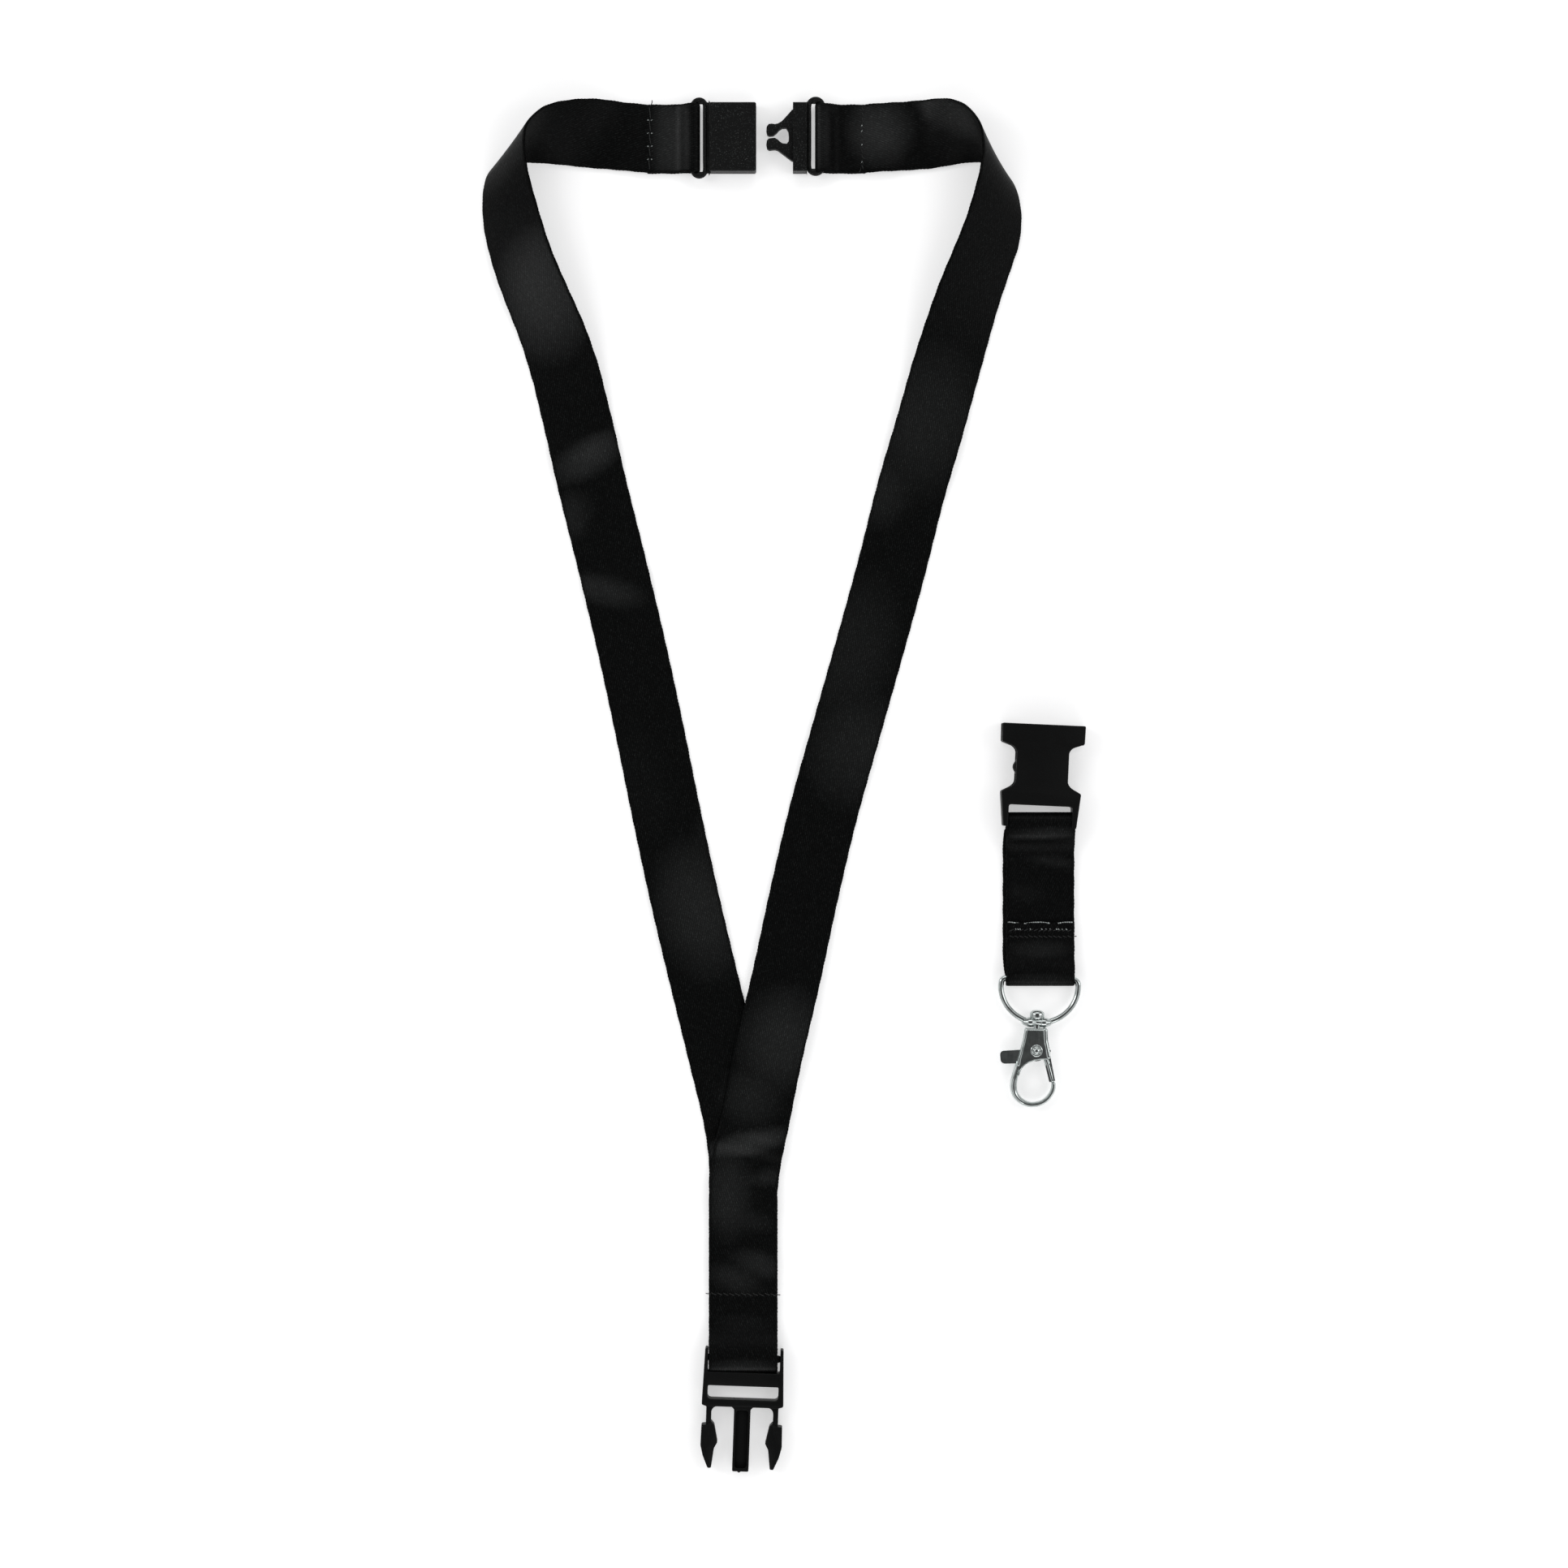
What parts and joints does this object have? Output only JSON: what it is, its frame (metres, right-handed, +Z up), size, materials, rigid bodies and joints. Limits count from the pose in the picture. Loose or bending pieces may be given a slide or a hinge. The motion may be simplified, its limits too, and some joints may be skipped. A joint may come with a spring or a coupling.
{
  "type": "lanyard",
  "caption": "Black satin neck lanyard with a breakaway buckle, a side-release buckle and a detached clip strap with a D-ring and swivel trigger hook.",
  "frame": {"origin": "middle of the whole lanyard's footprint as it lies, on the table", "axes": "+X right, +Y towards the breakaway buckle, +Z up from the table"},
  "size_m": [0.1763, 0.3999, 0.0167],
  "materials": {
    "satin": "woven satin, soft sheen",
    "thread": "twisted polyester thread",
    "plastic": "fine moulded grain",
    "nickel": "polished nickel plate",
    "spring_steel": "drawn wire"
  },
  "bodies": {
    "neck_strap": {"webbing_left_end": "satin", "webbing_left_corner": "satin", "webbing_left_leg": "satin", "webbing_right_leg": "satin", "webbing_right_corner": "satin", "webbing_tail_loop": "satin", "left_seam_thread": "thread", "tail_seam_thread": "thread"},
    "right_strap_end": {"webbing_right_end": "satin", "right_seam_thread": "thread"},
    "breakaway_socket": {"breakaway_socket": "plastic"},
    "breakaway_clip": {"breakaway_clip": "plastic"},
    "release_male": {"release_male_frame": "plastic"},
    "release_arm_left": {"release_arm_left": "plastic"},
    "release_arm_right": {"release_arm_right": "plastic"},
    "clip_strap": {"clip_webbing": "satin", "clip_seam_thread_upper": "thread", "clip_seam_thread_lower": "thread"},
    "release_socket": {"release_socket": "plastic"},
    "d_ring": {"d_ring": "nickel"},
    "hook": {"hook_body": "nickel", "swivel_post": "nickel", "gate_rivet": "nickel", "gate_spring": "spring_steel"},
    "gate": {"gate_lever": "nickel"}
  },
  "joints": [
    {"name": "socket_swing", "type": "hinge", "parent": "neck_strap", "child": "breakaway_socket", "pos_m": [-0.0263, 0.1881, 0.0027], "axis": [0, -1, 0], "range_deg": [0, 90]},
    {"name": "breakaway_engage", "type": "slide", "parent": "neck_strap", "child": "right_strap_end", "axis": [-1, 0, 0], "range_m": [0, 0.01]},
    {"name": "clip_swing", "type": "hinge", "parent": "right_strap_end", "child": "breakaway_clip", "pos_m": [0.0109, 0.1881, 0.0027], "axis": [0, 1, 0], "range_deg": [0, 90]},
    {"name": "male_swing", "type": "hinge", "parent": "neck_strap", "child": "release_male", "pos_m": [-0.0116, -0.1672, 0.00245], "axis": [-0.9994, 0.0349, 0], "range_deg": [0, 90]},
    {"name": "arm_left_flex", "type": "hinge", "parent": "release_male", "child": "release_arm_left", "pos_m": [-0.02204, -0.18114, 0.00245], "axis": [0, 0, 1], "range_deg": [0, 7], "stiffness_Nm_per_rad": 0.3},
    {"name": "arm_right_flex", "type": "hinge", "parent": "release_male", "child": "release_arm_right", "pos_m": [-0.00215, -0.18184, 0.00245], "axis": [0, 0, -1], "range_deg": [0, 7], "stiffness_Nm_per_rad": 0.3},
    {"name": "clip_strap_lift", "type": "slide", "parent": "neck_strap", "child": "clip_strap", "axis": [0, 0, 1], "range_m": [0, 0.05]},
    {"name": "release_socket_swing", "type": "hinge", "parent": "clip_strap", "child": "release_socket", "pos_m": [0.0746, -0.0109, 0.0037], "axis": [0.999, -0.0454, 0], "range_deg": [0, 90]},
    {"name": "d_ring_swing", "type": "hinge", "parent": "clip_strap", "child": "d_ring", "pos_m": [0.0745, -0.0567, 0.0024], "axis": [-0.9997, 0.0262, 0], "range_deg": [0, 120]},
    {"name": "hook_swivel", "type": "hinge", "parent": "d_ring", "child": "hook", "pos_m": [0.07345, -0.07758, 0.0024], "axis": [0.0262, 0.9997, 0], "continuous": true},
    {"name": "gate_open", "type": "hinge", "parent": "hook", "child": "gate", "pos_m": [0.07345, -0.07758, 0.0024], "axis": [0, 0, -1], "range_deg": [0, 28], "stiffness_Nm_per_rad": 0.01}
  ]
}
